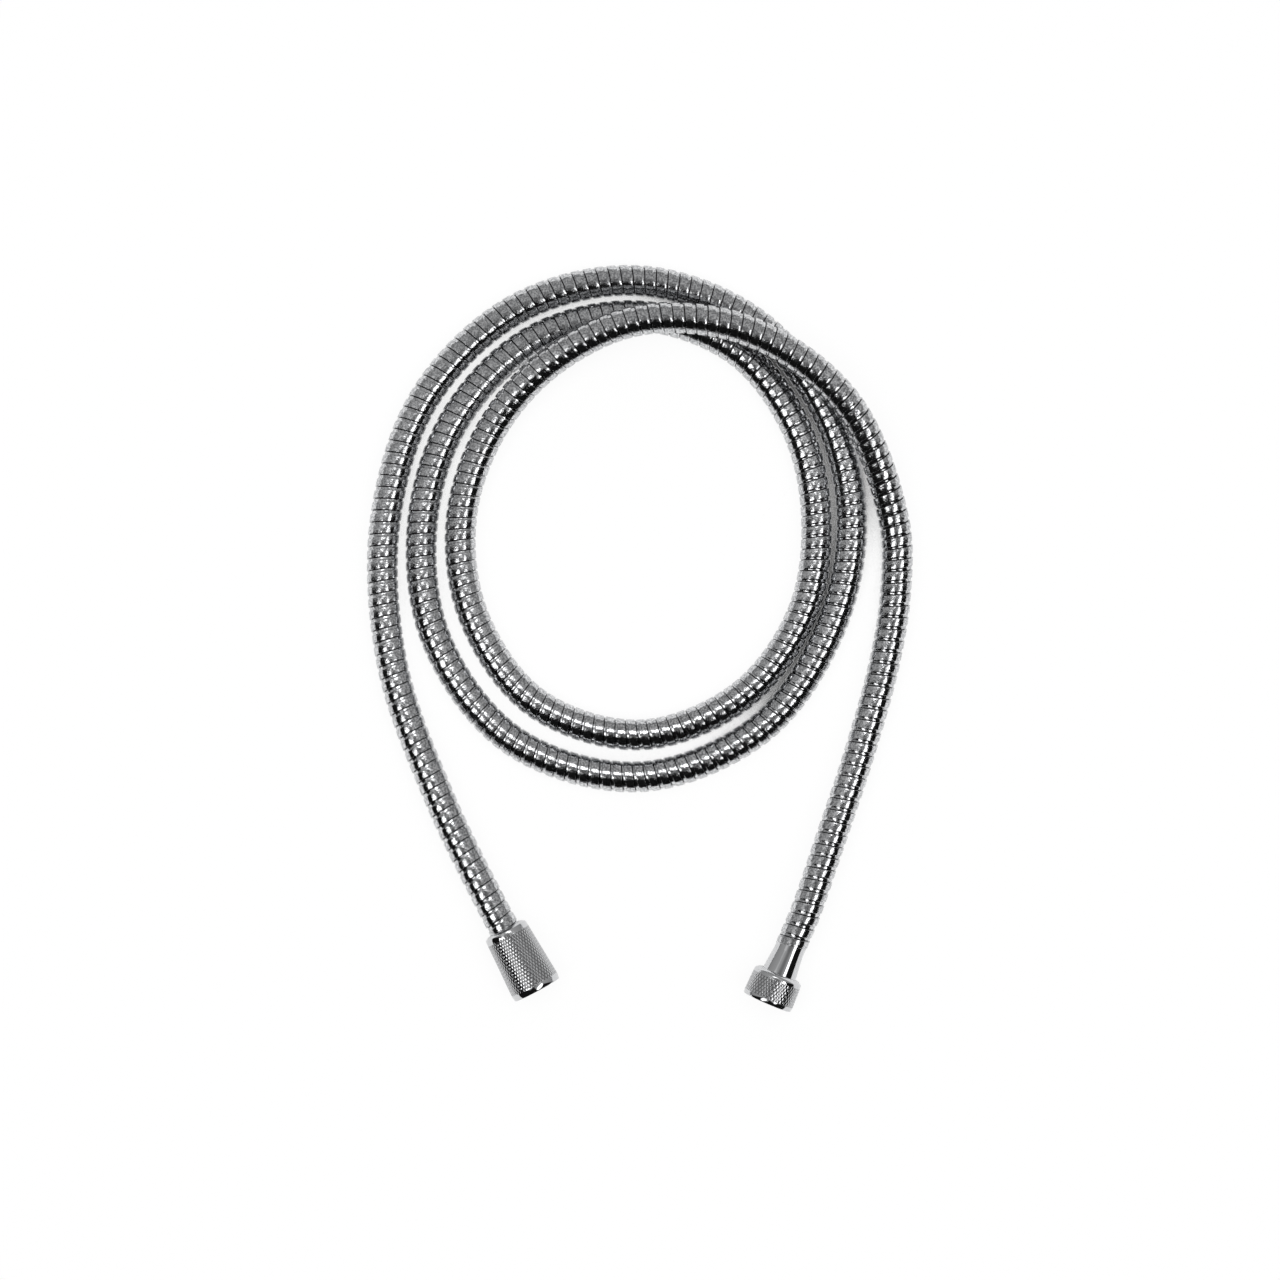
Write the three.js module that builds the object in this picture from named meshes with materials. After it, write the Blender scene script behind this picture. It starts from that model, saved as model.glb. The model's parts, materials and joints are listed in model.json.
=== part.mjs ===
// Shower hose, two metres long from mouth to mouth, lying in a loose coil on a flat surface.
// A steel interlock armour is wound over a rubber water tube. One end has a long conical nut
// for the handset, the other a short nut for the mixer valve, and both nuts turn and slide on it.
// Millimetres, +Z up. Z is 0 on the surface, and the origin lies under the middle of the object.

import * as THREE from 'three';

// Hose: radii of its two layers
const armourRadius = 7;
const armourBoreRadius = 6.35;
const waterTubeRadius = 5;
const waterTubeBoreRadius = 3.95;
const tubeSides = 12;
const runGap = 0.3; // left between pieces that touch, so that their faces stay apart

// Nuts: outside form, and the inside of a G1/2 thread
const nutMouthRadius = 11.8;
const nutMouthChamfer = 0.6;
const nutFacets = 40;
const nutCornerInset = 0.35; // the shoulder starts with a small bevel, this deep and this long
const nutCornerLength = 0.7;
const threadMinorRadius = 9.32;
const threadMajorRadius = 10.48;

// Handset end, measured along its axis from the nut's mouth
const handsetNut = {
  length: 31.5,
  smallRadius: 10.3,
  shoulderLength: 1.8,
  shoulderRadius: 8.5,
  passageRadius: 7.6,
  socketDepth: 12.6,
};
const handsetArmourStart = 18.3;

// Valve end
const valveNut = {
  length: 14.2,
  smallRadius: 11.4,
  shoulderLength: 1.6,
  shoulderRadius: 9.6,
  passageRadius: 8.2,
  socketDepth: 11.5,
};
const valveSleeveWideRadius = 7.9;
const valveSleeveCollar = 0.6; // of full width, seen behind the nut before the sleeve tapers
const valveArmourStart = 30.8;

// Slip ring, insert flange and washer, stacked from the nut's inner shoulder towards its mouth
const slipRingThickness = 1;
const slipRingRadius = 9.05;
const flangeThickness = 1.6;
const flangeRadius = 8.9;
const washerThickness = 2;
const washerRadius = 9;
const washerBoreRadius = 5;

// Insert: barbed tail that holds the water tube
const insertBoreRadius = 2.7;
const tailRadius = 3.3;
const barbRadius = 3.6;
const barbPitch = 4;
const barbCount = 3;
const barbGap = 0.5; // straight tail left in front of each barb
const barbTip = 0.1; // how far each barb slopes below the tail at its back end
const tailLength = 18;

// Sleeve: a neck as narrow as the armour, then a spigot that fits inside the armour's end
const neckRadius = 6.8;
const neckLength = 5.2;
const sleeveBoreRadius = 5.25;
const spigotRadius = 5.8;
const spigotLength = 8;

const turnedFacets = 32;
const insertFacets = 24;

// Where each nut's mouth is, and how far its axis is turned from +Y
const handsetMouth = new THREE.Vector3(-46.7, -159.7, nutMouthRadius);
const handsetTurn = THREE.MathUtils.degToRad(28.3);
const valveMouth = new THREE.Vector3(57.7, -165.3, nutMouthRadius);
const valveTurn = THREE.MathUtils.degToRad(-23.3);

// Centre line of the hose between the straight ends: x, y and height.
// It starts behind the conical nut, makes two and a half turns inwards, climbs over the two
// strands at the far side, and comes down to the valve end.
const route = [
  [-91.5, -72, 9.2],
  [-113, -11, 7.3],
  [-116, 54, 7.1],
  [-97.5, 110.5, 7.02],
  [-55.5, 150.5, 7],
  [0, 163, 7],
  [52, 144, 7],
  [85, 103, 7],
  [96.5, 54, 7],
  [86.5, 4, 7],
  [55, -41, 7],
  [0, -63, 7],
  [-58, -46.5, 7],
  [-93, 0, 7],
  [-99, 54, 7],
  [-83, 102, 7],
  [-47.5, 136.5, 7],
  [0, 147, 7],
  [44.5, 131, 7],
  [71.5, 95.5, 7],
  [80.5, 54, 7],
  [74, 11.5, 7],
  [46.5, -26, 7],
  [0, -44, 7],
  [-48, -29, 7],
  [-76, 10.5, 7.05],
  [-81.5, 54, 7.4],
  [-68.5, 93.5, 9.8],
  [-41, 125, 16.5],
  [0, 144, 22],
  [49, 139, 22],
  [93, 107.5, 19.5],
  [115.5, 54, 9.5],
  [116.5, 22, 7.7],
  [111.5, -10.5, 7.1],
  [100, -52, 7.9],
  [86.5, -92, 10.2],
];

// Straight stretch behind each fitting, along its axis
const handsetStraight = [31.5, 45];
const valveStraight = [37, 44];

const steel = { color: 0x9a9ea2, roughness: 0.16, metalness: 1 };
const chrome = { color: 0xb4b8bc, roughness: 0.08, metalness: 1 };
const brass = { color: 0xb08d4a, roughness: 0.35, metalness: 1 };
const blackRubber = { color: 0x1c1c1e, roughness: 0.75, metalness: 0 };
const greyRubber = { color: 0x55585c, roughness: 0.6, metalness: 0 };
const nylon = { color: 0xe8e6df, roughness: 0.45, metalness: 0 };

// A curve with its sections at the route's points and half way between them, so that strands
// lying side by side are cut at the same angles and their flat sides stay parallel
class RouteCurve extends THREE.CatmullRomCurve3 {
  getPointAt(share, target) {
    return this.getPoint(share, target);
  }

  getTangentAt(share, target) {
    return this.getTangent(share, target);
  }
}

function namedMesh(name, geometry, finish) {
  const mesh = new THREE.Mesh(geometry, new THREE.MeshStandardMaterial(finish));
  mesh.name = name;
  return mesh;
}

// Point on a fitting's axis, at a distance from its mouth towards the hose
function pointOnAxis(mouth, turn, distance) {
  const direction = new THREE.Vector3(-Math.sin(turn), Math.cos(turn), 0);
  return direction.multiplyScalar(distance).add(mouth);
}

function regularPolygon(PathClass, radius) {
  const outline = new PathClass();
  for (let side = 0; side < tubeSides; side += 1) {
    const angle = (side / tubeSides) * 2 * Math.PI;
    const x = radius * Math.cos(angle);
    const y = radius * Math.sin(angle);
    if (side === 0) {
      outline.moveTo(x, y);
    } else {
      outline.lineTo(x, y);
    }
  }
  outline.closePath();
  return outline;
}

// Open-ended tube along the hose's centre line, from one fitting to the other
function hoseLayer(radius, boreRadius, handsetStart, valveStart) {
  const points = [
    pointOnAxis(handsetMouth, handsetTurn, handsetStart),
    ...handsetStraight.map((distance) => pointOnAxis(handsetMouth, handsetTurn, distance)),
    ...route.map((place) => new THREE.Vector3(...place)),
    ...valveStraight.toReversed().map((distance) => pointOnAxis(valveMouth, valveTurn, distance)),
    pointOnAxis(valveMouth, valveTurn, valveStart),
  ];
  const section = regularPolygon(THREE.Shape, radius);
  section.holes.push(regularPolygon(THREE.Path, boreRadius));
  return new THREE.ExtrudeGeometry(section, {
    steps: 2 * (points.length - 1),
    extrudePath: new RouteCurve(points, false, 'centripetal'),
  });
}

// Solid turned about a fitting's axis: the outline's corners are [radius, distance from mouth]
function turned(outline, facets) {
  const corners = [...outline, outline[0]].map(([radius, distance]) => new THREE.Vector2(radius, distance));
  return new THREE.LatheGeometry(corners, facets);
}

function ring(outerRadius, innerRadius, start, thickness) {
  const end = start + thickness;
  const outline = [
    [outerRadius, start],
    [outerRadius, end],
    [innerRadius, end],
    [innerRadius, start],
  ];
  return turned(outline, turnedFacets);
}

// Slightly conical nut: a threaded socket at the mouth, and a narrower passage for the hose.
// The inner shoulder between them bears on the slip ring.
function nutGeometry(nut) {
  const shoulderStart = nut.length - nut.shoulderLength;
  const outline = [
    [nutMouthRadius - nutMouthChamfer, 0],
    [nutMouthRadius, nutMouthChamfer],
    [nut.smallRadius, shoulderStart],
    [nut.smallRadius - nutCornerInset, shoulderStart + nutCornerLength],
    [nut.shoulderRadius, nut.length],
    [nut.passageRadius, nut.length],
    [nut.passageRadius, nut.socketDepth],
    [threadMinorRadius, nut.socketDepth],
    [threadMinorRadius, threadMajorRadius - threadMinorRadius],
    [threadMajorRadius, 0],
  ];
  return turned(outline, nutFacets);
}

// Flange with a hollow barbed tail, whose barbs slope towards the tail's end
function insertGeometry(flangeFront) {
  const flangeBack = flangeFront + flangeThickness;
  const tailEnd = flangeBack + tailLength;
  const outline = [
    [flangeRadius, flangeFront],
    [flangeRadius, flangeBack],
    [tailRadius, flangeBack],
  ];
  for (let barb = barbCount; barb > 0; barb -= 1) {
    const barbEnd = tailEnd - (barb - 1) * barbPitch;
    const barbFront = barbEnd - barbPitch + barbGap;
    outline.push([tailRadius, barbFront], [barbRadius, barbFront], [tailRadius - barbTip, barbEnd]);
  }
  outline.push([insertBoreRadius, tailEnd], [insertBoreRadius, flangeFront]);
  return turned(outline, insertFacets);
}

// Ferrule between the insert's flange and the armour, with its spigot inside the armour
function sleeveGeometry(front, wideRadius, taperStart, armourStart) {
  const bodyEnd = armourStart - runGap;
  const spigotEnd = armourStart + spigotLength;
  const outline = [
    [wideRadius, front],
    [wideRadius, taperStart],
    [neckRadius, bodyEnd - neckLength],
    [neckRadius, bodyEnd],
    [spigotRadius, bodyEnd],
    [spigotRadius, spigotEnd],
    [sleeveBoreRadius, spigotEnd],
    [sleeveBoreRadius, front],
  ];
  return turned(outline, turnedFacets);
}

// Everything on one fitting's axis: nut, slip ring, washer, insert and sleeve
function fitting(prefix, mouth, turn, nut, sleeve) {
  const ringStart = nut.socketDepth - runGap - slipRingThickness;
  const flangeFront = ringStart - runGap - flangeThickness;
  const washerStart = flangeFront - runGap - washerThickness;
  const ringBore = sleeve.wideRadius + runGap;
  const slipRing = ring(slipRingRadius, ringBore, ringStart, slipRingThickness);
  const washer = ring(washerRadius, washerBoreRadius, washerStart, washerThickness);
  const ferrule = sleeveGeometry(ringStart, sleeve.wideRadius, sleeve.taperStart, sleeve.armourStart);
  const group = new THREE.Group();
  group.position.copy(mouth);
  group.rotation.z = turn;
  group.add(
    namedMesh(`${prefix}_nut`, nutGeometry(nut), chrome),
    namedMesh(`${prefix}_slip_ring`, slipRing, nylon),
    namedMesh(`${prefix}_washer`, washer, blackRubber),
    namedMesh(`${prefix}_insert`, insertGeometry(flangeFront), brass),
    namedMesh(`${prefix}_sleeve`, ferrule, chrome),
  );
  return group;
}

const handsetSleeve = {
  wideRadius: neckRadius,
  taperStart: handsetNut.socketDepth,
  armourStart: handsetArmourStart,
};
const valveSleeve = {
  wideRadius: valveSleeveWideRadius,
  taperStart: valveNut.length + valveSleeveCollar,
  armourStart: valveArmourStart,
};

// The water tube starts just behind each insert's flange
const handsetTubeStart = handsetNut.socketDepth - runGap - slipRingThickness;
const valveTubeStart = valveNut.socketDepth - runGap - slipRingThickness;

const armour = hoseLayer(armourRadius, armourBoreRadius, handsetArmourStart, valveArmourStart);
const waterTube = hoseLayer(waterTubeRadius, waterTubeBoreRadius, handsetTubeStart, valveTubeStart);

const showerHose = new THREE.Group();
showerHose.add(
  namedMesh('armour', armour, steel),
  namedMesh('water_tube', waterTube, greyRubber),
  fitting('handset', handsetMouth, handsetTurn, handsetNut, handsetSleeve),
  fitting('valve', valveMouth, valveTurn, valveNut, valveSleeve),
);

export default showerHose;
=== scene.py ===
import json
import math

import bpy
import numpy as np
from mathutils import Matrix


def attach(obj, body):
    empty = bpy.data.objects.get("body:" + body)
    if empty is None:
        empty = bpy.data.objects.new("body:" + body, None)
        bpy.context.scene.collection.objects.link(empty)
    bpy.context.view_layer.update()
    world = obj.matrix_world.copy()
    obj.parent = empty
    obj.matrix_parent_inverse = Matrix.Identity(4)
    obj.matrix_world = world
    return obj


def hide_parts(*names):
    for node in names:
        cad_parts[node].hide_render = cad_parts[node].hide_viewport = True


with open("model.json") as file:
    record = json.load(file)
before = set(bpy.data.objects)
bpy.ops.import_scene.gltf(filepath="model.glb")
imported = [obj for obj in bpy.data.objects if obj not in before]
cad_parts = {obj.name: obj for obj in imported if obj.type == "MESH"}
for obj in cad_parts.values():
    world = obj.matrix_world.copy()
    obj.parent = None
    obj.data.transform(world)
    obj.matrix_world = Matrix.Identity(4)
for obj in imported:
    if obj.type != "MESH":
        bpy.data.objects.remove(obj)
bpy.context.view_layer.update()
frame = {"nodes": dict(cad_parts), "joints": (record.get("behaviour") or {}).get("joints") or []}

mm = 0.001


def newObject(name, mesh):
    obj = bpy.data.objects.new(name, mesh)
    bpy.context.scene.collection.objects.link(obj)
    return obj


def unit(v):
    return v / np.linalg.norm(v, axis=-1, keepdims=True)


# Camera, straight above the coil with a long lens

cameraView = {
    "height": 2.0,  # above the floor
    "pictureWidth": 0.5832,  # what the frame takes in at the height of the hose's centre line
    "aim": (0.0, -0.0007),
    "hoseHeight": 7 * mm,  # that centre line above the floor
    "sensor": 36.0,
}


def makeCamera(values):
    data = bpy.data.cameras.new("camera")
    data.sensor_width = values["sensor"]
    data.lens = values["sensor"] * (values["height"] - values["hoseHeight"]) / values["pictureWidth"]
    data.clip_start = 0.05
    data.clip_end = 50
    camera = newObject("camera", data)
    camera.location = (*values["aim"], values["height"])
    bpy.context.scene.camera = camera


makeCamera(cameraView)
print("camera set")


# Where the hose lies: the straight ends follow the fittings' axes, and the rest follows the listed route

joints = {joint["name"]: joint for joint in frame["joints"]}


# The middle of a fitting's mouth and the direction from it back along the hose
def fittingAxis(end):
    swivel = joints[end + "_nut_swivel"]
    return np.array(swivel["pos_m"]), unit(np.array(swivel["axis"]))


fittingAxes = {end: fittingAxis(end) for end in ("handset", "valve")}

hoseLay = {
    "handsetStraight": (18.3 * mm, 31.5 * mm, 45 * mm),  # distances from the conical nut's mouth
    "valveStraight": (44 * mm, 37 * mm, 30.8 * mm),  # distances from the short nut's mouth
    "route": [
        (-0.0915, -0.0720, 0.0092),
        (-0.1130, -0.0110, 0.0073),
        (-0.1160, 0.0540, 0.0071),
        (-0.0975, 0.1105, 0.00702),
        (-0.0555, 0.1505, 0.0070),
        (0.0000, 0.1630, 0.0070),
        (0.0520, 0.1440, 0.0070),
        (0.0850, 0.1030, 0.0070),
        (0.0965, 0.0540, 0.0070),
        (0.0865, 0.0040, 0.0070),
        (0.0550, -0.0410, 0.0070),
        (0.0000, -0.0630, 0.0070),
        (-0.0580, -0.0465, 0.0070),
        (-0.0930, 0.0000, 0.0070),
        (-0.0990, 0.0540, 0.0070),
        (-0.0830, 0.1020, 0.0070),
        (-0.0475, 0.1365, 0.0070),
        (0.0000, 0.1470, 0.0070),
        (0.0445, 0.1310, 0.0070),
        (0.0715, 0.0955, 0.0070),
        (0.0805, 0.0540, 0.0070),
        (0.0740, 0.0115, 0.0070),
        (0.0465, -0.0260, 0.0070),
        (0.0000, -0.0440, 0.0070),
        (-0.0480, -0.0290, 0.0070),
        (-0.0760, 0.0105, 0.00705),
        (-0.0815, 0.0540, 0.0074),
        (-0.0685, 0.0935, 0.0098),
        (-0.0410, 0.1250, 0.0165),
        (0.0000, 0.1440, 0.0220),
        (0.0490, 0.1390, 0.0220),
        (0.0930, 0.1075, 0.0195),
        (0.1155, 0.0540, 0.0095),
        (0.1165, 0.0220, 0.0077),
        (0.1115, -0.0105, 0.0071),
        (0.1000, -0.0520, 0.0079),
        (0.0865, -0.0920, 0.0102),
    ],
    "samplesPerSpan": 40,
}


# A smooth line through the points: on each span a cubic whose end slopes come from the
# neighbouring points, weighted by the square root of their distances
def smoothLine(points, samples):
    p = np.array(points)
    p = np.vstack([2 * p[0] - p[1], p, 2 * p[-1] - p[-2]])
    gap = np.sqrt(np.linalg.norm(np.diff(p, axis=0), axis=1))[:, None]
    p0, p1, p2, p3 = p[:-3], p[1:-2], p[2:-1], p[3:]
    before, here, after = gap[:-2], gap[1:-1], gap[2:]
    slope1 = ((p1 - p0) / before - (p2 - p0) / (before + here) + (p2 - p1) / here) * here
    slope2 = ((p2 - p1) / here - (p3 - p1) / (here + after) + (p3 - p2) / after) * here
    w = (np.arange(samples) / samples)[None, :, None]
    square = 3 * (p2 - p1) - 2 * slope1 - slope2
    cube = 2 * (p1 - p2) + slope1 + slope2
    a, b, c, d = (x[:, None, :] for x in (p1, slope1, square, cube))
    line = (a + b * w + c * w ** 2 + d * w ** 3).reshape(-1, 3)
    return np.vstack([line, p2[-1]])


def hoseLine(values):
    mouth, back = fittingAxes["handset"]
    start = [mouth + back * distance for distance in values["handsetStraight"]]
    mouth, back = fittingAxes["valve"]
    end = [mouth + back * distance for distance in values["valveStraight"]]
    return smoothLine([*start, *values["route"], *end], values["samplesPerSpan"])


line = hoseLine(hoseLay)
lineStation = np.concatenate([[0], np.cumsum(np.linalg.norm(np.diff(line, axis=0), axis=1))])
hoseLength = lineStation[-1]
lineForward = unit(np.gradient(line, lineStation, axis=0))
lineBend = np.gradient(lineForward, lineStation, axis=0)
print(f"centre line {hoseLength:.4f} m long")


# What the vectors at the line's points come to at any distance along it
def between(vectors, station):
    return np.stack([np.interp(station, lineStation, vectors[:, k]) for k in range(3)], axis=-1)


# A place on the line and the directions to its left and upwards, carried on past both ends
def lineFrame(station):
    inside = np.clip(station, 0, hoseLength)
    at = between(line, inside)
    ahead = unit(between(lineForward, inside))
    left = unit(np.cross([0, 0, 1], ahead))
    up = np.cross(ahead, left)
    return at + ahead * (station - inside)[..., None], left, up


# A mesh from a grid of points, each row closed on itself. The last row joins the first one, or
# else both are capped.
def gridMesh(name, points, uv, wrapRows=False, sharpDegrees=35):
    rows, columns = points.shape[:2]
    index = np.arange(rows * columns).reshape(rows, columns)
    if wrapRows:
        index = np.vstack([index, index[:1]])
    index = np.hstack([index, index[:, :1]])
    quads = np.stack([index[:-1, :-1], index[:-1, 1:], index[1:, 1:], index[1:, :-1]], axis=-1)
    caps = []
    if not wrapRows:
        caps = [list(map(int, index[0, :columns][::-1])), list(map(int, index[-1, :columns]))]
    mesh = bpy.data.meshes.new(name)
    mesh.from_pydata(points.reshape(-1, 3), [], quads.reshape(-1, 4).tolist() + caps)
    mesh.polygons.foreach_set("use_smooth", np.ones(len(mesh.polygons), bool))
    corner = np.zeros(len(mesh.loops), np.int32)
    mesh.loops.foreach_get("vertex_index", corner)
    layer = mesh.uv_layers.new(name="UVMap")
    layer.data.foreach_set("uv", uv.reshape(-1, 2)[corner].ravel())
    mesh.update()
    mesh.set_sharp_from_angle(angle=math.radians(sharpDegrees))
    return newObject(name, mesh)


# Materials

def newMaterial(name, **sockets):
    material = bpy.data.materials.new(name)
    material.use_nodes = True
    shader = material.node_tree.nodes["Principled BSDF"]
    for socket, value in sockets.items():
        shader.inputs[socket.replace("_", " ")].default_value = value
    return material, material.node_tree, shader


def addNode(tree, kind, inputs=None, **settings):
    node = tree.nodes.new(kind)
    for key, value in settings.items():
        setattr(node, key, value)
    for key, value in (inputs or {}).items():
        if isinstance(value, bpy.types.NodeSocket):
            tree.links.new(value, node.inputs[key])
        else:
            node.inputs[key].default_value = value
    return node


def mixColours(tree, factor, first, second):
    return addNode(tree, "ShaderNodeMix", {0: factor, 6: first, 7: second}, data_type="RGBA").outputs[2]


def remap(tree, value, low, high, toLow, toHigh):
    inputs = {"Value": value, "From Min": low, "From Max": high, "To Min": toLow, "To Max": toHigh}
    return addNode(tree, "ShaderNodeMapRange", inputs).outputs["Result"]


def math2(tree, operation, first, second):
    return addNode(tree, "ShaderNodeMath", {0: first, 1: second}, operation=operation).outputs[0]


def coordinates(tree, kind="Object"):
    return addNode(tree, "ShaderNodeTexCoord").outputs[kind]


def noise(tree, place, scale, detail):
    inputs = {"Vector": place, "Scale": scale, "Detail": detail}
    return addNode(tree, "ShaderNodeTexNoise", inputs).outputs["Fac"]


def bumped(tree, shader, height, strength, distance):
    bump = addNode(tree, "ShaderNodeBump", {"Height": height, "Strength": strength, "Distance": distance})
    tree.links.new(bump.outputs["Normal"], shader.inputs["Normal"])


noiseRange = (0.3, 0.7)  # what a noise mostly stays in

steelLook = {
    "colour": (0.715, 0.72, 0.73, 1),
    "darker": (0.34, 0.345, 0.355, 1),  # what the fine grain mixes in
    "grain": 1150.0,  # per metre
    "grainRange": (0.38, 0.62),
    "roughness": 0.1,
    "streaks": 0.05,  # how much the rolled streaks along the strip vary the roughness
    "streakScale": (60, 9000, 1),  # per metre along the strip and across it
    "dents": (1300.0, 0.08),  # per metre, and depth in mm
    # painted shade: the near-black colour of the narrow gap in front of the next turn
    "gap": (0.035, 0.035, 0.037, 1),  # the narrow gap in front of the next turn
    "gapShadeBlur": (0.03, 0.02),  # mm before and after its edge
}


# Polished strip: rolled streaks run along it, it is slightly uneven and grainy, and the narrow
# gap where it slides under the next turn is painted near-black as shade. The UV map holds metres
# along the strip and across its surface.
def steelMaterial(values, gapFrom):
    material, tree, shader = newMaterial("polished_steel_strip", Metallic=1.0)
    uv = coordinates(tree, "UV")
    place = coordinates(tree)
    grain = noise(tree, place, values["grain"], 2.0)
    pale = remap(tree, grain, *values["grainRange"], 0, 1)
    colour = mixColours(tree, pale, values["darker"], values["colour"])
    across = addNode(tree, "ShaderNodeSeparateXYZ", {"Vector": uv}).outputs["Y"]
    blurBefore, blurAfter = values["gapShadeBlur"]
    # painted shade: past gapFrom across the strip, the colour turns to the near-black gap colour
    inGapShade = remap(tree, across, gapFrom - blurBefore * mm, gapFrom + blurAfter * mm, 0, 1)
    tree.links.new(mixColours(tree, inGapShade, colour, values["gap"]), shader.inputs["Base Color"])
    drawn = addNode(tree, "ShaderNodeMapping", {"Vector": uv, "Scale": values["streakScale"]})
    streak = noise(tree, drawn.outputs["Vector"], 1.0, 3.0)
    low = values["roughness"] - values["streaks"]
    high = values["roughness"] + values["streaks"]
    tree.links.new(remap(tree, streak, *noiseRange, low, high), shader.inputs["Roughness"])
    perMetre, depth = values["dents"]
    bumped(tree, shader, noise(tree, place, perMetre, 2.0), 1.0, depth * mm)
    return material


chromeLook = {
    "colour": (0.60, 0.605, 0.615, 1),
    # painted shade: the colour of the knurl's grooves, darker than the plate
    "groove": (0.15, 0.15, 0.153, 1),
    "grooveShadeDepth": (0.02, 0.12),  # mm, from where the colour turns to where it is all groove
    "roughness": 0.07,
    "spread": 0.03,
    "cloud": 180.0,  # per metre
    "ripple": (0.02, 0.5),  # strength, and height in mm
}


# Chrome plate: slightly uneven gloss and a faint ripple. On the nuts the UV map's second
# number is how deep the knurl is pressed in, and the grooves are painted darker as shade.
def chromeMaterial(name, values, grooved):
    material, tree, shader = newMaterial(name, Metallic=1.0, Base_Color=values["colour"])
    if grooved:
        depth = addNode(tree, "ShaderNodeSeparateXYZ", {"Vector": coordinates(tree, "UV")}).outputs["Y"]
        low, high = values["grooveShadeDepth"]
        # painted shade: the deeper the knurl is pressed in, the darker the colour
        inGrooveShade = remap(tree, depth, low * mm, high * mm, 0, 1)
        colour = mixColours(tree, inGrooveShade, values["colour"], values["groove"])
        tree.links.new(colour, shader.inputs["Base Color"])
    cloud = noise(tree, coordinates(tree), values["cloud"], 4.0)
    low = values["roughness"] - values["spread"]
    high = values["roughness"] + values["spread"]
    tree.links.new(remap(tree, cloud, *noiseRange, low, high), shader.inputs["Roughness"])
    strength, height = values["ripple"]
    bumped(tree, shader, cloud, strength, height * mm)
    return material


brassLook = {
    "bright": (0.72, 0.52, 0.24, 1),
    "dull": (0.56, 0.38, 0.16, 1),
    "cloud": 120.0,  # per metre
    "cloudRange": (0.35, 0.65),
    "roughness": (0.2, 0.36),
}


def turnedBrassMaterial(values):
    material, tree, shader = newMaterial("turned_brass", Metallic=1.0)
    cloud = noise(tree, coordinates(tree), values["cloud"], 5.0)
    dull = remap(tree, cloud, *values["cloudRange"], 0, 1)
    colour = mixColours(tree, dull, values["bright"], values["dull"])
    tree.links.new(colour, shader.inputs["Base Color"])
    rough = remap(tree, cloud, *noiseRange, *values["roughness"])
    tree.links.new(rough, shader.inputs["Roughness"])
    return material


mouldedLook = {
    "cloud": 300.0,  # per metre
    "cloudRange": (0.4, 0.7),
    "grain": 2600.0,  # per metre
    "grainBump": (0.15, 0.2),  # strength, and height in mm
}


def mouldedMaterial(name, colour, paler, roughness):
    material, tree, shader = newMaterial(name, Roughness=roughness)
    place = coordinates(tree)
    cloud = noise(tree, place, mouldedLook["cloud"], 4.0)
    pale = remap(tree, cloud, *mouldedLook["cloudRange"], 0, 1)
    tree.links.new(mixColours(tree, pale, colour, paler), shader.inputs["Base Color"])
    strength, height = mouldedLook["grainBump"]
    bumped(tree, shader, noise(tree, place, mouldedLook["grain"], 2.0), strength, height * mm)
    return material


# Armour

armour = {
    "stepsPerTurn": 20,
    # pitch in mm at distances in m from the handset end: the coil's turns sit closer than the tails'
    "pitchAt": [
        (0, 5.62), (0.1, 5.48), (0.25, 5.29), (0.45, 5.2),
        (1.5, 5.15), (1.72, 5.22), (1.87, 5.42), (1.95, 5.62),
    ],
    # the strip's section in mm: distance across from its folded front edge, and radius
    "band": [
        (0.0, 6.15), (0.0, 6.98), (0.12, 7.07), (1.8, 7.09),
        (3.45, 7.07), (3.6, 6.95), (3.68, 6.6),
    ],
    "recessRadius": 6.56,
    "gap": 0.52,  # the narrow gap between the recess and the next turn's front edge
    "wall": 0.04,  # how far the recess's edge leans as it drops into that gap
    "tuckRadius": 6.0,  # where the strip slides under the next turn
    "tuck": 0.95,  # how far it goes under
    "thickness": 0.13,
    "inside": [(2.3, 5.87), (2.1, 6.08)],  # from the tucked part back to the front edge
    "neckRadius": 6.82,  # the inside where the end turns lie over a sleeve's neck
    "neckOverlap": 5.5 * mm,  # how far the end turns run over that neck
    "neckFrom": 0.3 * mm,  # how far before the ends they widen for it
    "squeeze": 0.02,
    "travelSteps": 4000,  # over the whole length, to find how far the seam comes in each turn
    "meanRadius": 7 * mm,  # where a turn's length along the strip is taken
}


def armourPitch(station):
    places, pitches = np.array(armour["pitchAt"]).T
    return np.interp(station, places, pitches) * mm


# What lies below a limit is squeezed up against it, so that no two points fall together:
# limit + squeeze * (value - limit)
def notBelow(value, limit):
    return np.where(value < limit, limit + armour["squeeze"] * (value - limit), value)


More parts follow.
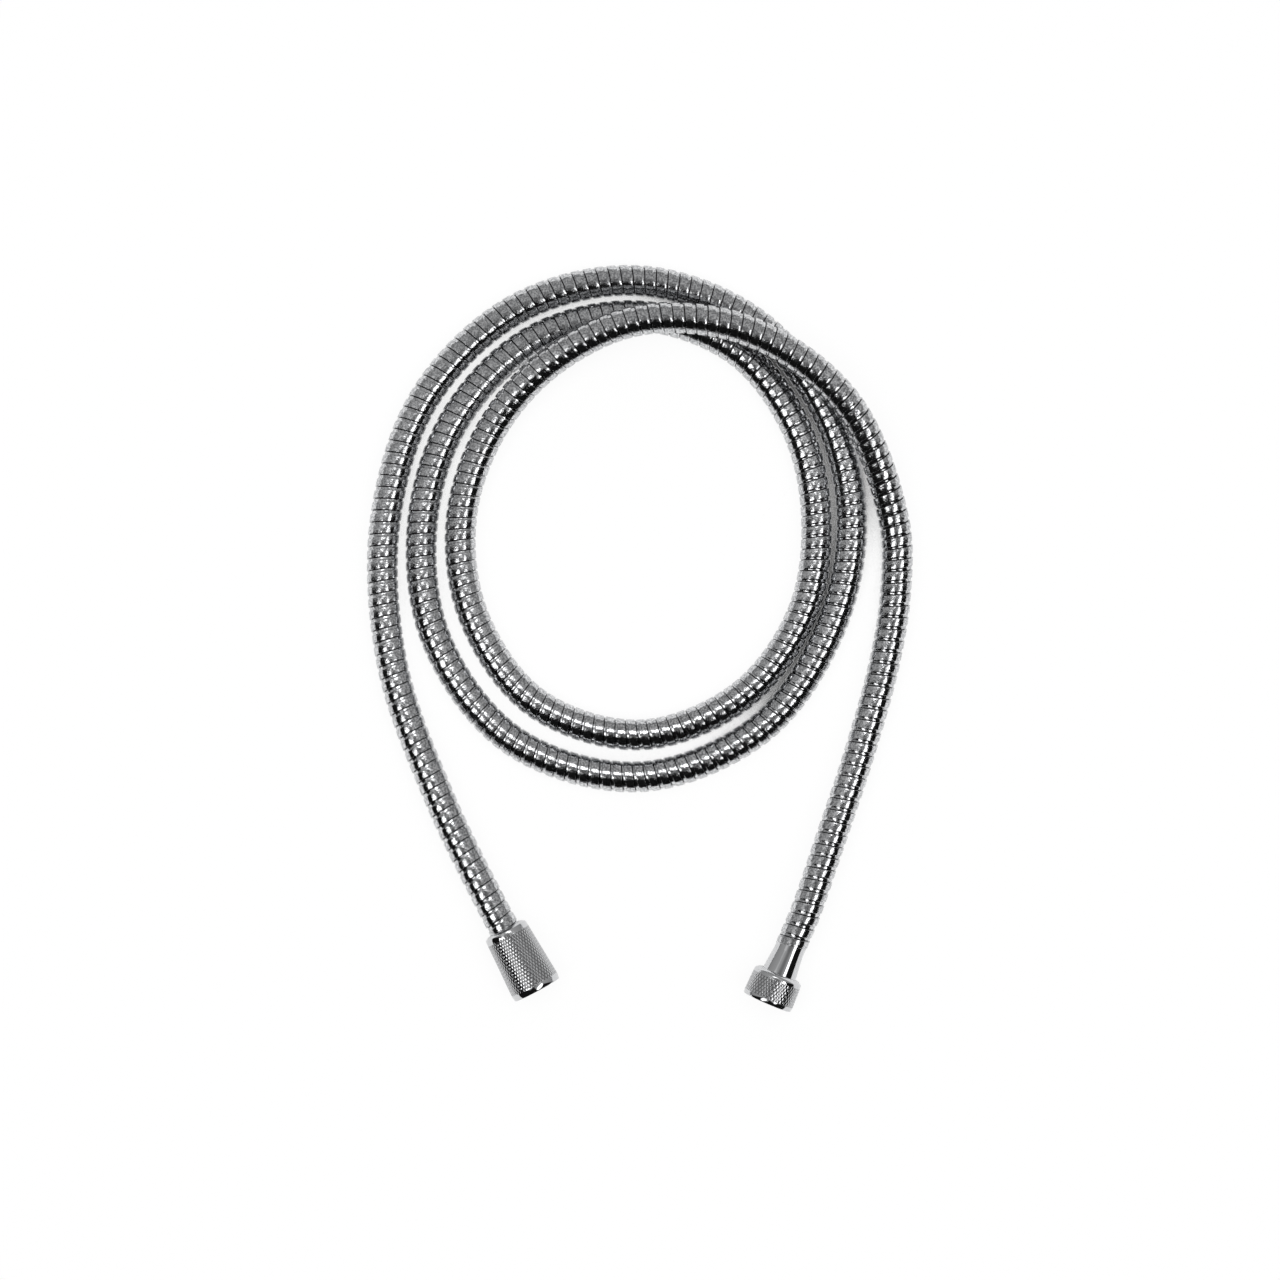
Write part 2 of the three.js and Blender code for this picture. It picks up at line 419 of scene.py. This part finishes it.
# The strip wound round the centre line. A point is
# line(s) + r * (cos(turn) * left + sin(turn) * up), where s = seam(turn) + x / stretch.
# The seam moves on by the pitch in each turn, x is the distance across the strip, which keeps
# its width, and stretch is how much the bend opens the turns outside and closes them inside.
# The recess ends one gap before the next turn's seam, so it is wide outside a bend and narrow inside.
def windArmour(values):
    band = np.array(values["band"]) * mm
    inside = np.array(values["inside"]) * mm
    gap, tuck, tuckRadius = values["gap"], values["tuck"], values["tuckRadius"]
    beyond = np.array([-gap, values["wall"] - gap, tuck, tuck]) * mm
    tuckInside = tuckRadius - values["thickness"]
    beyondRadius = np.array([values["recessRadius"], tuckRadius, tuckRadius, tuckInside]) * mm
    radius = np.concatenate([band[:, 1], beyondRadius, inside[:, 1]])
    steps = values["stepsPerTurn"]
    bandEnd = band[-2, 0]
    travelEnd = hoseLength + values["neckOverlap"] - bandEnd
    travel = np.linspace(-2 * armourPitch(0), travelEnd, values["travelSteps"])
    middle = (travel[1:] + travel[:-1]) / 2
    turnsAt = np.concatenate([[0], np.cumsum(np.diff(travel) / armourPitch(middle))])
    count = math.floor(turnsAt[-1] * steps)
    turns = turnsAt[-1] - np.arange(count, -1, -1) / steps
    seam = np.interp(turns, turnsAt, travel)
    nextSeam = np.interp(turns + 1, turnsAt, travel, right=np.nan)
    nextSeam = np.where(np.isnan(nextSeam), seam + armourPitch(seam), nextSeam)
    angle = 2 * math.pi * (turns - turns[-1]) - math.pi / 2
    _, left, up = lineFrame(seam)
    sideways = np.cos(angle)[:, None] * left + np.sin(angle)[:, None] * up
    bendSideways = np.sum(between(lineBend, seam) * sideways, axis=1)[:, None]
    stretch = 1 - radius * bendSideways
    pitchHere = (nextSeam - seam)[:, None] * stretch
    x = np.zeros(stretch.shape)
    x[:, :len(band)] = band[:, 0]
    x[:, len(band):-len(inside)] = pitchHere[:, len(band):-len(inside)] + beyond
    x[:, -len(inside):] = inside[:, 0]
    radius = np.broadcast_to(radius, x.shape)
    beyondBand = np.arange(x.shape[1]) >= len(band) - 1
    lastTurn = (np.arange(count + 1) > count - steps)[:, None] & beyondBand[None, :]
    x = np.where(lastTurn, -notBelow(-x, -bandEnd), x)
    station = notBelow(seam[:, None] + x / stretch, -values["neckOverlap"])
    overNeck = (station < values["neckFrom"]) | (station > hoseLength - values["neckFrom"])
    radius = np.where(lastTurn | overNeck, notBelow(radius, values["neckRadius"] * mm), radius)
    at, left, up = lineFrame(station)
    turn = angle[:, None, None]
    points = at + radius[..., None] * (np.cos(turn) * left + np.sin(turn) * up)
    flatAcross = np.concatenate([band[:, 0], armourPitch(0) + beyond, inside[:, 0]])
    section = np.stack([flatAcross, radius[count // 2]], axis=1)
    surface = np.concatenate([[0], np.cumsum(np.linalg.norm(np.diff(section, axis=0), axis=1))])
    along = np.broadcast_to((turns * 2 * math.pi * values["meanRadius"])[:, None], x.shape)
    across = np.broadcast_to(surface, x.shape)
    uv = np.stack([along, across], axis=-1)
    obj = gridMesh("hose_armour", points[:, ::-1], uv[:, ::-1], sharpDegrees=80)
    even = obj.modifiers.new("even_shading", "WEIGHTED_NORMAL")
    even.keep_sharp = True
    even.weight = 97  # the band's wide faces decide, so its highlights run straight
    obj.data.materials.append(steelMaterial(steelLook, float(surface[len(band)])))
    return obj


hose = windArmour(armour)
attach(hose, "hose")
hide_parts("armour")
print("armour wound:", len(hose.data.polygons), "faces")


# Turned pieces

# A closed outline of [radius, distance] corners in mm is made fine: no side is longer than the
# spacing, and each corner is cut back by the rounding and drawn as a small arc
def fineOutline(corners, rounding, spacing):
    corners = np.array(corners, float)
    before = np.roll(corners, 1, axis=0)
    after = np.roll(corners, -1, axis=0)
    toBefore = np.linalg.norm(before - corners, axis=1, keepdims=True)
    toAfter = np.linalg.norm(after - corners, axis=1, keepdims=True)
    enter = corners + (before - corners) * np.minimum(rounding / toBefore, 0.45)
    leave = corners + (after - corners) * np.minimum(rounding / toAfter, 0.45)
    bend = np.linspace(0, 1, 5)[:, None]
    pieces = []
    for k in range(len(corners)):
        middle = 2 * bend * (1 - bend) * corners[k]
        pieces.append((1 - bend) ** 2 * enter[k] + middle + bend ** 2 * leave[k])
        goal = enter[(k + 1) % len(corners)]
        parts = max(1, math.ceil(np.linalg.norm(goal - leave[k]) / spacing))
        share = np.arange(1, parts)[:, None] / parts
        pieces.append(leave[k] + (goal - leave[k]) * share)
    return np.vstack(pieces)


# The outline carried round a fitting's axis:
# mouth + back * distance + (radius + relief(angle, distance)) * (cos(angle) * side + sin(angle) * up)
def turnOutline(name, end, outline, columns, relief=None):
    mouth, back = fittingAxes[end]
    up = np.array([0, 0, 1.0])
    side = np.cross(up, back)
    angle = (np.arange(columns) / columns * 2 * math.pi)[None, :]
    smooth = outline[:, :1] + np.zeros_like(angle)
    distance = outline[:, 1:] + np.zeros_like(angle)
    radius = smooth
    if relief is not None:
        radius = smooth + relief(angle, distance)
    ring = np.cos(angle)[..., None] * side + np.sin(angle)[..., None] * up
    points = mouth + (distance[..., None] * back + radius[..., None] * ring) * mm
    uv = np.stack([(angle + np.zeros_like(smooth)) * smooth, smooth - radius], axis=-1) * mm
    return gridMesh(name, points, uv, wrapRows=True)


def finishPiece(obj, material, body, slotName, *nodes):
    obj.data.materials.append(material)
    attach(obj, body)
    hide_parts(*nodes)
    return obj


knurl = {
    "ridges": 48,  # round the nut, in each of the two directions
    "rise": 2.96,  # mm along the nut for one ridge of turn
    "depth": 0.14,
    "flat": 0.5,  # how much of each ridge's height is left before it is flattened
    "samples": 8,  # grid points to a ridge
}

nutEnds = {
    "rimTaper": 0.13,  # mm of radius to a mm of length, over the smooth rim at the mouth
    "rimEdge": [(-0.3, 0.0), (-0.08, 0.08), (0.06, 0.3)],  # from the rim's radius, and from the mouth
    "smoothBack": 1.8,  # mm at the back where the radius no longer falls
}

thread = {
    "pitch": 25.4 / 14,
    "depth": 1.16,
    "minorRadius": 9.32,
    # the groove's section is a triangle wave made steeper, lowered and clipped
    "steeper": 1.25,
    "lowered": 0.12,
    "from": 1.2,  # mm from the mouth
    "lead": [(9.42, 1.1), (10.48, 0.1), (10.6, 0.0)],  # the cone in front of it
    "runOut": 1.6,  # mm left plain in front of the socket's end
    "fadeOver": 1.5,
    "row": 0.17,  # mm between the grid's rows
}

handsetNut = {
    "mouthRadius": 11.8,
    "smallRadius": 10.3,
    "length": 31.5,
    "rim": 2.5,  # length of the smooth rim, which tapers to the mouth
    "knurlFrom": 2.8,
    "knurlTo": 27.8,
    "shoulder": [(10.28, 29.8), (10.0, 30.5), (8.6, 31.4), (8.2, 31.5)],
    "passage": 7.6,
    "socket": 12.6,
}

valveNut = {
    "mouthRadius": 11.8,
    "smallRadius": 11.4,
    "length": 14.2,
    "rim": 1.8,
    "knurlFrom": 2.1,
    "knurlTo": 11.4,
    "shoulder": [(11.35, 12.5), (11.1, 13.1), (9.7, 14.1), (9.3, 14.2)],
    "passage": 8.2,
    "socket": 11.5,
}


# Height of the diamond knurl: the lower of two families of ridges that wind opposite ways,
# each a triangle wave, with the tops flattened
def knurlHeight(angle, distance):
    turn = knurl["ridges"] * angle / (2 * math.pi)
    climb = distance / knurl["rise"]
    first = 1 - np.abs(2 * np.mod(turn + climb, 1) - 1)
    second = 1 - np.abs(2 * np.mod(turn - climb, 1) - 1)
    return np.minimum(np.minimum(first, second), knurl["flat"]) / knurl["flat"]


def makeNut(name, end, values, material):
    row = knurl["rise"] / knurl["samples"]
    knurlFrom = math.ceil(values["knurlFrom"] / row) * row
    knurlTo = math.floor(values["knurlTo"] / row) * row
    slope = (values["smallRadius"] - values["mouthRadius"]) / (values["length"] - nutEnds["smoothBack"])

    def flank(distance):
        return values["mouthRadius"] + slope * distance

    rimRadius = flank(values["rim"]) - nutEnds["rimTaper"] * values["rim"]
    mouthEdge = [(rimRadius + outwards, d) for outwards, d in nutEnds["rimEdge"]]
    mouthEdge += [(flank(values["rim"]) - 0.02, values["rim"])]
    rows = np.arange(knurlFrom, knurlTo + row / 2, row)
    outer = [*mouthEdge, (flank(knurlFrom), knurlFrom - 0.15)]
    outer += [(flank(d), d) for d in rows]
    outer += [(flank(knurlTo) - 0.02, knurlTo + 0.3), *values["shoulder"]]
    minor = thread["minorRadius"]
    threadFrom = values["socket"] - thread["runOut"]
    threadRows = np.arange(threadFrom, thread["from"], -thread["row"])
    inner = [
        (values["passage"] + 0.25, values["length"]),
        (values["passage"], values["length"] - 0.3),
        (values["passage"], values["socket"] + 0.2),
        (values["passage"] + 0.2, values["socket"]),
        (minor, values["socket"]),
    ]
    inner += [(minor, d) for d in threadRows]
    inner += thread["lead"]
    outline = np.array(outer + inner)
    isKnurl = np.zeros(len(outline), bool)
    isKnurl[len(mouthEdge) + 1:len(mouthEdge) + 1 + len(rows)] = True
    isThread = np.zeros(len(outline), bool)
    threadEnd = len(outline) - len(thread["lead"])
    isThread[threadEnd - len(threadRows):threadEnd] = True

    def relief(angle, distance):
        pressed = -knurl["depth"] * (1 - knurlHeight(angle, distance))
        wave = np.abs(2 * np.mod(distance / thread["pitch"] + angle / (2 * math.pi), 1) - 1)
        groove = np.clip(thread["steeper"] * wave - thread["lowered"], 0, 1)
        shallower = np.clip((threadFrom - distance) / thread["fadeOver"], 0, 1)
        cut = thread["depth"] * groove * shallower
        return np.where(isKnurl[:, None], pressed, np.where(isThread[:, None], cut, 0))

    columns = knurl["ridges"] * knurl["samples"]
    obj = turnOutline(name, end, outline, columns, relief)
    return finishPiece(obj, material, end + "_nut", "nut_chrome", end + "_nut")


chromeOnKnurl = chromeMaterial("nut_chrome_plate", chromeLook, True)
handsetNutPiece = makeNut("knurled_cone_nut", "handset", handsetNut, chromeOnKnurl)
valveNutPiece = makeNut("knurled_short_nut", "valve", valveNut, chromeOnKnurl)
print("nuts turned:", len(handsetNutPiece.data.polygons), len(valveNutPiece.data.polygons), "faces")


innerParts = {
    "sleeveBore": 5.25,
    "spigot": (5.8, 8.0),  # radius and length
    "neck": (6.8, 5.2),
    "insertBore": 2.7,
    "flange": (8.9, 1.6),  # radius and thickness
    "tail": (3.3, 18.0),
    "barb": (3.6, 4.0, 3),  # radius, pitch and how many
    "ringRadius": 9.05,
    "ringThickness": 1.0,
    "washer": (9.0, 5.0, 2.0),  # outer radius, bore radius and thickness
    "gap": 0.3,
    "spacing": 2.0,  # longest side of an outline
    "columns": 72,  # round the axis
}

endParts = {
    "handset": {
        "socket": handsetNut["socket"],
        "sleeveWide": 6.8,
        "taperFrom": 12.6,
        "armourStart": 18.3,
    },
    "valve": {
        "socket": valveNut["socket"],
        "sleeveWide": 7.9,
        "taperFrom": 14.8,
        "armourStart": 30.8,
    },
}


def turnedPart(name, end, corners, rounding):
    outline = fineOutline(corners, rounding, innerParts["spacing"])
    return turnOutline(name, end, outline, innerParts["columns"])


def sleeveCorners(values, front):
    neckRadius, neckLength = innerParts["neck"]
    spigotRadius, spigotLength = innerParts["spigot"]
    bodyEnd = values["armourStart"] - innerParts["gap"]
    spigotEnd = values["armourStart"] + spigotLength
    return [
        (values["sleeveWide"], front),
        (values["sleeveWide"], values["taperFrom"]),
        (neckRadius, bodyEnd - neckLength),
        (neckRadius, bodyEnd),
        (spigotRadius, bodyEnd),
        (spigotRadius, spigotEnd),
        (innerParts["sleeveBore"], spigotEnd),
        (innerParts["sleeveBore"], front),
    ]


def insertCorners(front):
    flangeRadius, flangeThickness = innerParts["flange"]
    tailRadius, tailLength = innerParts["tail"]
    barbRadius, barbPitch, barbCount = innerParts["barb"]
    back = front + flangeThickness
    tip = back + tailLength
    corners = [(flangeRadius, front), (flangeRadius, back), (tailRadius, back)]
    for barb in range(barbCount, 0, -1):
        start = tip - barb * barbPitch + 0.5
        foot = (tailRadius - 0.1, start + barbPitch - 0.5)
        corners += [(tailRadius, start), (barbRadius, start), foot]
    return corners + [(innerParts["insertBore"], tip), (innerParts["insertBore"], front)]


def ringCorners(outer, bore, start, thickness):
    return [(outer, start), (outer, start + thickness), (bore, start + thickness), (bore, start)]


sleeveLook = {**chromeLook, "roughness": 0.06, "spread": 0.02}
sleeveChrome = chromeMaterial("sleeve_chrome_plate", sleeveLook, False)
brass = turnedBrassMaterial(brassLook)
blackRubber = mouldedMaterial("black_rubber", (0.02, 0.02, 0.021, 1), (0.035, 0.035, 0.036, 1), 0.6)
nylon = mouldedMaterial("natural_nylon", (0.82, 0.81, 0.76, 1), (0.88, 0.87, 0.83, 1), 0.4)
fittedParts = []
for end, values in endParts.items():
    ringFront = values["socket"] - innerParts["gap"] - innerParts["ringThickness"]
    flangeFront = ringFront - innerParts["gap"] - innerParts["flange"][1]
    washerOuter, washerBore, washerThickness = innerParts["washer"]
    washerFront = flangeFront - innerParts["gap"] - washerThickness
    sleeve = turnedPart(end + "_turned_sleeve", end, sleeveCorners(values, ringFront), 0.2)
    finishPiece(sleeve, sleeveChrome, "hose", "sleeve_chrome", end + "_sleeve")
    insert = turnedPart(end + "_barbed_insert", end, insertCorners(flangeFront), 0.12)
    finishPiece(insert, brass, "hose", "insert_brass", end + "_insert")
    disc = ringCorners(washerOuter, washerBore, washerFront, washerThickness)
    washer = turnedPart(end + "_seal", end, disc, 0.25)
    finishPiece(washer, blackRubber, "hose", "washer_rubber", end + "_washer")
    ringBore = values["sleeveWide"] + innerParts["gap"]
    ring = ringCorners(innerParts["ringRadius"], ringBore, ringFront, innerParts["ringThickness"])
    slipRing = turnedPart(end + "_nylon_ring", end, ring, 0.15)
    finishPiece(slipRing, nylon, end + "_ring", "ring_nylon", end + "_slip_ring")
    fittedParts += [sleeve, insert]
print("sleeves, inserts, washers and rings turned")

waterTube = frame["nodes"]["water_tube"]
waterTube.data.materials.clear()
waterTube.data.materials.append(
    mouldedMaterial("grey_tube_rubber", (0.16, 0.165, 0.17, 1), (0.22, 0.225, 0.23, 1), 0.55)
)


# Stage and light

studio = {
    "floorSize": 8.0,
    "floorHeight": -0.2 * mm,
    # painted shade: metal this near darkens the floor's white in a gap
    "gapDistance": 0.03,  # how far off the metal may be that darkens a gap
    "paper": (0.86, 0.86, 0.86, 1),
    # share of the floor's white that the light makes, so that shadows show; the rest is its own
    "paintSeen": 0.09,
    "paintMirrored": 0.75,
    # painted shade: ambient occlusion darkens the floor's white in the narrow gaps between the turns, with
    # the gaps
    # right of shadeFrom painted darker: how open the floor is where it starts to pale and where it is
    # white, left of shadeFrom and right of it, and how pale a closed gap is
    "openLeft": (0.02, 0.10),
    "openRight": (0.158, 0.208),
    "shadeFrom": (0.02, 0.06),
    "closed": 0.06,
}


def makeFloor(values):
    half, height = values["floorSize"] / 2, values["floorHeight"]
    corners = [(x * half, y * half, height) for x, y in ((-1, -1), (1, -1), (1, 1), (-1, 1))]
    mesh = bpy.data.meshes.new("floor")
    mesh.from_pydata(corners, [], [(0, 1, 2, 3)])
    floor = newObject("floor", mesh)
    material = bpy.data.materials.new("white_floor")
    material.use_nodes = True
    tree = material.node_tree
    tree.nodes.clear()

    # painted shade: the white the camera sees is dimmed by ambient occlusion in narrow gaps, more so right
    # of shadeFrom
    x = addNode(tree, "ShaderNodeSeparateXYZ", {"Vector": coordinates(tree)}).outputs["X"]
    pale = [
        remap(tree, x, *values["shadeFrom"], left, right)
        for left, right in zip(values["openLeft"], values["openRight"])
    ]
    reach = {"Distance": values["gapDistance"]}
    gapShadeOcclusion = addNode(tree, "ShaderNodeAmbientOcclusion", reach, samples=12).outputs["AO"]
    white = remap(tree, gapShadeOcclusion, *pale, values["closed"], 1)

    def whitePaint(share, white):
        level = math2(tree, "MULTIPLY", white, share)
        colour = addNode(tree, "ShaderNodeCombineXYZ", {"X": level, "Y": level, "Z": level})
        paint = addNode(tree, "ShaderNodeBsdfDiffuse", {"Color": colour.outputs[0]})
        glow = addNode(tree, "ShaderNodeEmission", {"Strength": math2(tree, "MULTIPLY", white, 1 - share)})
        return addNode(tree, "ShaderNodeAddShader", {0: paint.outputs[0], 1: glow.outputs[0]}).outputs[0]

    def choose(factor, otherwise, chosen):
        return addNode(tree, "ShaderNodeMixShader", {0: factor, 1: otherwise, 2: chosen}).outputs[0]

    path = addNode(tree, "ShaderNodeLightPath").outputs
    mirrored = math2(tree, "MAXIMUM", path["Is Glossy Ray"], path["Is Transmission Ray"])
    paper = addNode(tree, "ShaderNodeBsdfDiffuse", {"Color": values["paper"]}).outputs[0]
    mixed = choose(mirrored, paper, whitePaint(values["paintMirrored"], 1.0))
    mixed = choose(path["Is Camera Ray"], mixed, whitePaint(values["paintSeen"], white))
    output = addNode(tree, "ShaderNodeOutputMaterial")
    tree.links.new(mixed, output.inputs["Surface"])
    mesh.materials.append(material)


makeFloor(studio)

# The room round the set. Patches lie on a ceiling one unit up: place, half sizes, turn in
# degrees, brightness.
room = {
    "overhead": 0.55,
    "overheadFrom": 0.8,  # the upward part of the direction where that is reached
    "horizon": 0.42,
    "zenith": 0.26,
    "black": 0.012,
    # straight in front the black begins nearer the zenith, over a part that narrows to the sides
    "nearBlack": (-0.08, -0.2),
    "nearBlackNarrow": 1.2,
    # degrees from the zenith: where the darker core ends, and where the black front begins
    "coreEdge": (20, 8),
    "blackEdge": (22, 34),
    "frontEdge": (0.05, -0.02),
    "ceilingEdge": (0.02, 0.1),  # how steeply up the patches fade in
    "patchEdge": (1.1, 0.75),  # in half sizes: where a patch begins and where it is at full strength
    "patches": [
        (0.64, -0.28, 0.44, 0.24, 58, 4.0),
        (-0.62, -0.30, 0.42, 0.2, 26, 3.8),
        (-0.60, 0.28, 0.25, 0.18, -25, 0.3),
        (0.45, 0.30, 0.25, 0.18, 30, 0.2),
    ],
}


def makeWorld(values):
    world = bpy.data.worlds.new("room")
    bpy.context.scene.world = world
    world.use_nodes = True
    tree = world.node_tree
    tree.nodes.clear()
    direction = coordinates(tree, "Generated")
    parts = addNode(tree, "ShaderNodeSeparateXYZ", {"Vector": direction}).outputs
    rise = math2(tree, "MAXIMUM", parts["Z"], 0.001)
    level = remap(tree, parts["Z"], 0, values["overheadFrom"], values["horizon"], values["overhead"])

    def fade(degrees):
        begin, end = (math.cos(math.radians(angle)) for angle in degrees)
        return remap(tree, parts["Z"], begin, end, 0, 1)

    level = remap(tree, fade(values["coreEdge"]), 0, 1, level, values["zenith"])
    front = remap(tree, parts["Y"], *values["frontEdge"], 0, 1)
    dark = math2(tree, "MULTIPLY", front, fade(values["blackEdge"]))
    aside = addNode(tree, "ShaderNodeMath", {0: parts["X"]}, operation="ABSOLUTE").outputs[0]
    narrower = math2(tree, "MULTIPLY", aside, values["nearBlackNarrow"])
    near = remap(tree, math2(tree, "ADD", parts["Y"], narrower), *values["nearBlack"], 0, 1)
    dark = math2(tree, "MAXIMUM", dark, near)
    level = remap(tree, dark, 0, 1, level, values["black"])
    ceilingX = math2(tree, "DIVIDE", parts["X"], rise)
    ceilingY = math2(tree, "DIVIDE", parts["Y"], rise)
    flat = addNode(tree, "ShaderNodeCombineXYZ", {"X": ceilingX, "Y": ceilingY}).outputs[0]
    above = remap(tree, parts["Z"], *values["ceilingEdge"], 0, 1)
    for x, y, halfLength, halfWidth, turn, strength in values["patches"]:
        inPatch = addNode(
            tree,
            "ShaderNodeMapping",
            {
                "Vector": flat,
                "Location": (x, y, 0),
                "Rotation": (0, 0, math.radians(turn)),
                "Scale": (halfLength, halfWidth, 1),
            },
            vector_type="TEXTURE",
        ).outputs[0]
        fromCentre = addNode(tree, "ShaderNodeVectorMath", {0: inPatch}, operation="LENGTH")
        patch = remap(tree, fromCentre.outputs["Value"], *values["patchEdge"], 0, strength)
        glow = math2(tree, "MULTIPLY", patch, above)
        level = math2(tree, "ADD", level, glow)
    light = addNode(tree, "ShaderNodeBackground", {"Strength": level})
    white = addNode(tree, "ShaderNodeBackground", {"Color": (1, 1, 1, 1), "Strength": 1.0})
    camera = addNode(tree, "ShaderNodeLightPath").outputs["Is Camera Ray"]
    mixed = addNode(tree, "ShaderNodeMixShader", {0: camera, 1: light.outputs[0], 2: white.outputs[0]})
    output = addNode(tree, "ShaderNodeOutputWorld")
    tree.links.new(mixed.outputs[0], output.inputs["Surface"])


makeWorld(room)


# Soft light from above for everything that isn't mirror-bright
def makeOverhead(height, size, watts):
    data = bpy.data.lights.new("overhead", "AREA")
    data.shape = "DISK"
    data.size = size
    data.energy = watts
    lamp = newObject("overhead", data)
    lamp.location = (0, 0, height)
    lamp.visible_glossy = False


# A narrow strip light that only the lower arcs of the coil mirror
def makeStrip(place, aim, length, width, spreadDegrees, watts):
    data = bpy.data.lights.new("strip", "AREA")
    data.shape = "RECTANGLE"
    data.size = length
    data.size_y = width
    data.spread = math.radians(spreadDegrees)
    data.energy = watts
    lamp = newObject("strip", data)
    lamp.location = place
    lamp.rotation_euler = (math.atan2(aim[1] - place[1], place[2] - aim[2]), 0, 0)
    lamp.visible_diffuse = False


makeOverhead(height=3.0, size=3.0, watts=60)
makeStrip(
    place=(0, 0.11, 0.45), aim=(0, -0.06, 0),
    length=0.6, width=0.13, spreadDegrees=38, watts=0.055,
)

bpy.context.scene.view_settings.view_transform = "Standard"
print("stage set")
